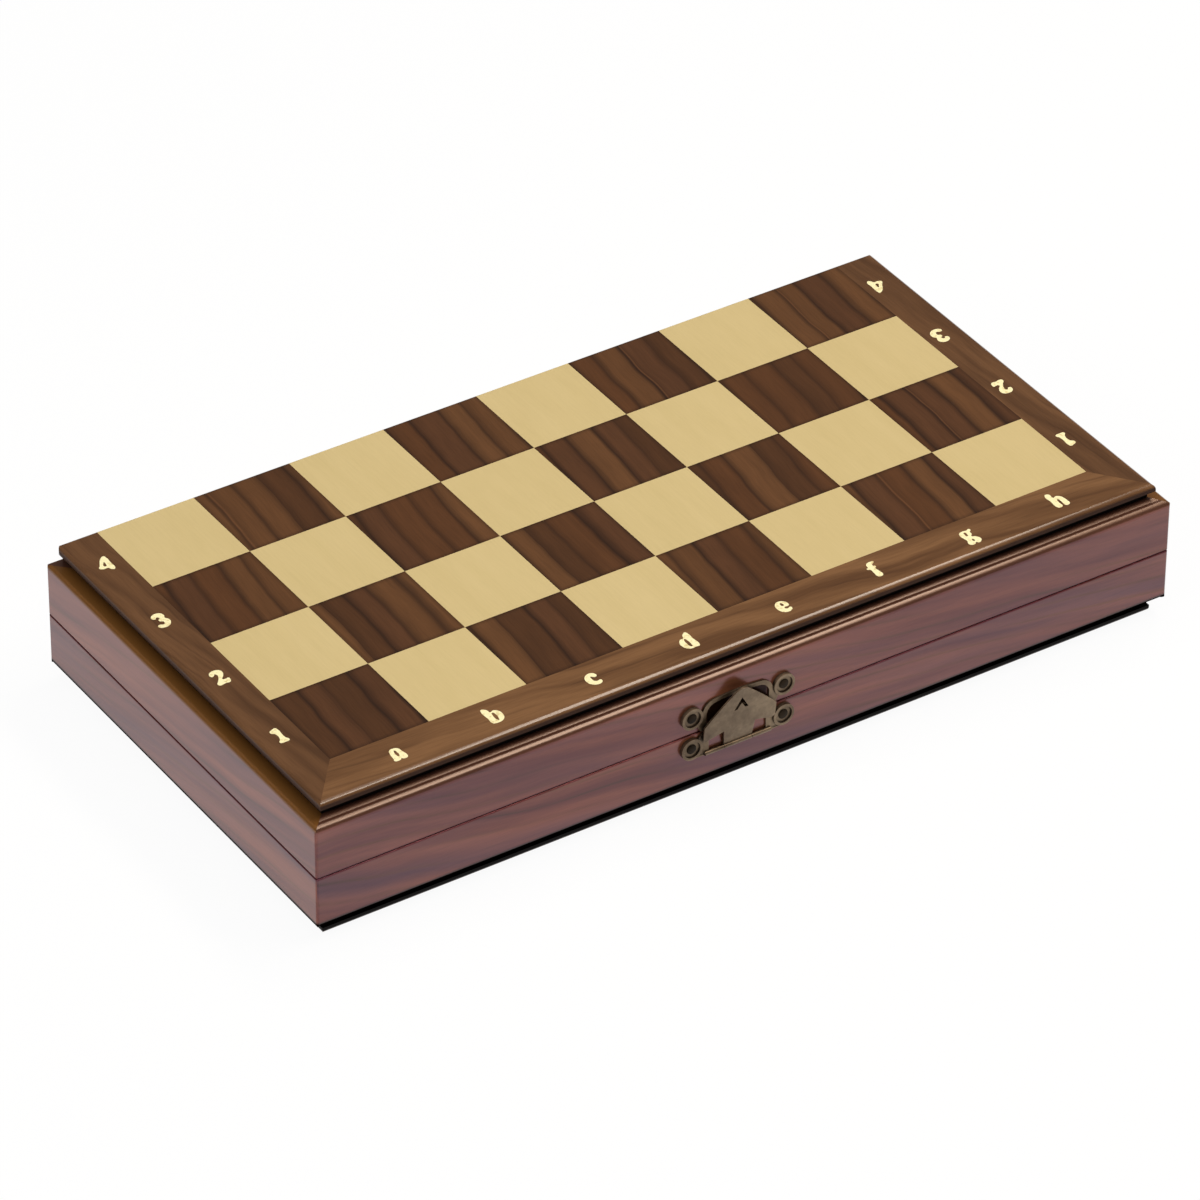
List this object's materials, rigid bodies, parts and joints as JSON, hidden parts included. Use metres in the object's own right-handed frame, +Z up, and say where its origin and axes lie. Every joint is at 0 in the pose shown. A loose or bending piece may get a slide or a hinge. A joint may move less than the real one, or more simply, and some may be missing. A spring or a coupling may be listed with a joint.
{
  "type": "folding chess box",
  "caption": "Folding wooden chess box: two shallow trays hinged along the back, each with half of the board on its outer face, closed by a small metal latch at the front.",
  "frame": {"origin": "centre of the frame's footprint, on the surface that the closed box lies on", "axes": "+Z up, +X along the files from a to h, +Y from the latch side to the hinge side"},
  "size_m": [0.298, 0.1573, 0.0463],
  "materials": {
    "frame_wood": "lacquered reddish-brown walnut",
    "border_wood": "lacquered walnut",
    "core_board": "plain fibreboard core",
    "dark_veneer": "lacquered walnut veneer",
    "light_veneer": "lacquered maple veneer",
    "lining": "thin felt",
    "hinge_brass": "polished brass",
    "latch_metal": "antique bronze"
  },
  "bodies": {
    "base": {"base_board_core": "core_board", "base_dark_squares": "dark_veneer", "base_light_squares": "light_veneer", "base_border_left": "border_wood", "base_border_right": "border_wood", "base_border_front": "border_wood", "base_front_rail": "frame_wood", "base_back_rail": "frame_wood", "base_left_rail": "frame_wood", "base_right_rail": "frame_wood", "base_felt_lining": "lining", "base_hinge_leaf_left": "hinge_brass", "base_hinge_leaf_right": "hinge_brass", "base_hinge_screws": "hinge_brass", "hinge_pin_left": "hinge_brass", "hinge_pin_right": "hinge_brass", "latch_base_plate": "latch_metal", "latch_lever_pin": "latch_metal", "latch_base_nails": "latch_metal"},
    "lid": {"lid_board_core": "core_board", "lid_dark_squares": "dark_veneer", "lid_light_squares": "light_veneer", "lid_border_left": "border_wood", "lid_border_right": "border_wood", "lid_border_front": "border_wood", "lid_front_rail": "frame_wood", "lid_back_rail": "frame_wood", "lid_left_rail": "frame_wood", "lid_right_rail": "frame_wood", "lid_felt_lining": "lining", "lid_hinge_leaf_left": "hinge_brass", "lid_hinge_leaf_right": "hinge_brass", "lid_hinge_screws": "hinge_brass", "latch_hook_plate": "latch_metal", "latch_lid_nails": "latch_metal"},
    "latch_lever": {"latch_lever": "latch_metal"}
  },
  "joints": [
    {"name": "lid_hinge", "type": "hinge", "parent": "base", "child": "lid", "pos_m": [0, 0.07615, 0.02315], "axis": [-1, 0, 0], "range_deg": [0, 180]},
    {"name": "latch_turn", "type": "hinge", "parent": "base", "child": "latch_lever", "pos_m": [-0.0065, -0.0768, 0.01515], "axis": [1, 0, 0], "range_deg": [0, 90]}
  ]
}
